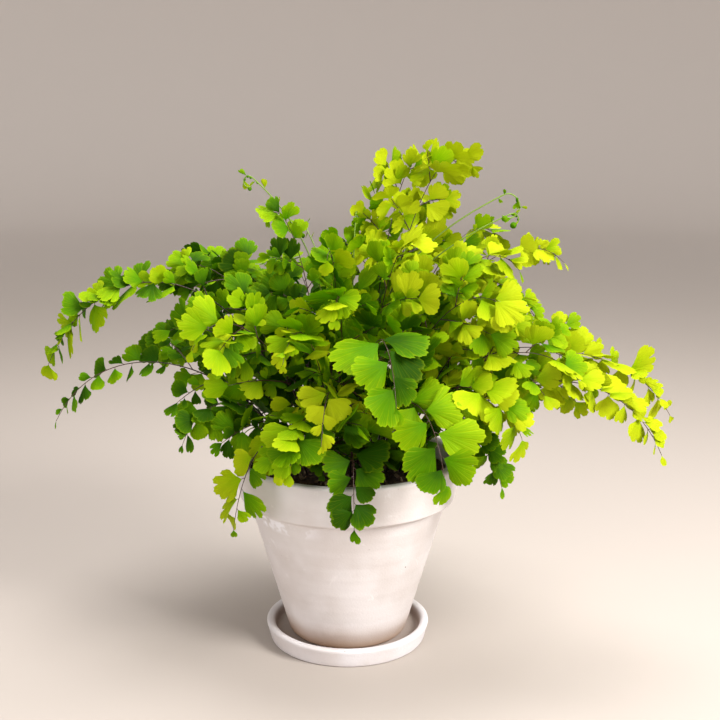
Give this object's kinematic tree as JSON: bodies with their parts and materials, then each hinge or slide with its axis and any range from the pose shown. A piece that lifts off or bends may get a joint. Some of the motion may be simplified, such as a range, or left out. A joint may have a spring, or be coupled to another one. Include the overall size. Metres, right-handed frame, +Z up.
{
  "type": "potted maidenhair fern",
  "caption": "Maidenhair fern with arching fronds of fan-shaped leaflets, in a whitewashed clay pot on its saucer.",
  "frame": {"origin": "middle of the saucer's underside, on the surface the plant stands on", "axes": "+Z up along the pot's axis, +X to the viewer's right in the picture, -Y towards the viewer"},
  "size_m": [0.322, 0.2163, 0.2626],
  "materials": {
    "saucer_clay": "matt whitewashed clay, with a smooth rounded rim",
    "pot_clay": "matt whitewashed clay with faint turning marks, brush streaks and a tan foot",
    "soil": "dark crumbly potting soil with pale bark flecks",
    "frond": "thin satin leaflets, light shines through them, on dark wiry stems",
    "young_frond": "smooth pale green stalk with a curled tip"
  },
  "bodies": {
    "root": {"saucer": "saucer_clay", "pot": "pot_clay", "soil": "soil", "frond_01": "frond", "frond_02": "frond", "frond_03": "frond", "frond_04": "frond", "frond_05": "frond", "frond_06": "frond", "frond_07": "frond", "frond_08": "frond", "frond_09": "frond", "frond_10": "frond", "frond_11": "frond", "frond_12": "frond", "frond_13": "frond", "frond_14": "frond", "frond_15": "frond", "frond_16": "frond", "frond_17": "frond", "frond_18": "frond", "frond_19": "frond", "frond_20": "frond", "frond_21": "frond", "frond_22": "frond", "frond_23": "frond", "frond_24": "frond", "frond_25": "frond", "frond_26": "frond", "frond_27": "frond", "frond_28": "frond", "frond_29": "frond", "frond_30": "frond", "frond_31": "frond", "frond_32": "frond", "frond_33": "frond", "frond_34": "frond", "frond_35": "frond", "frond_36": "frond", "frond_37": "frond", "frond_38": "frond", "frond_39": "frond", "frond_40": "frond", "frond_41": "frond", "frond_42": "frond", "frond_43": "frond", "frond_44": "frond", "crozier_01": "young_frond", "crozier_02": "young_frond", "crozier_03": "young_frond", "crozier_04": "young_frond", "crozier_05": "young_frond"}
  },
  "joints": []
}
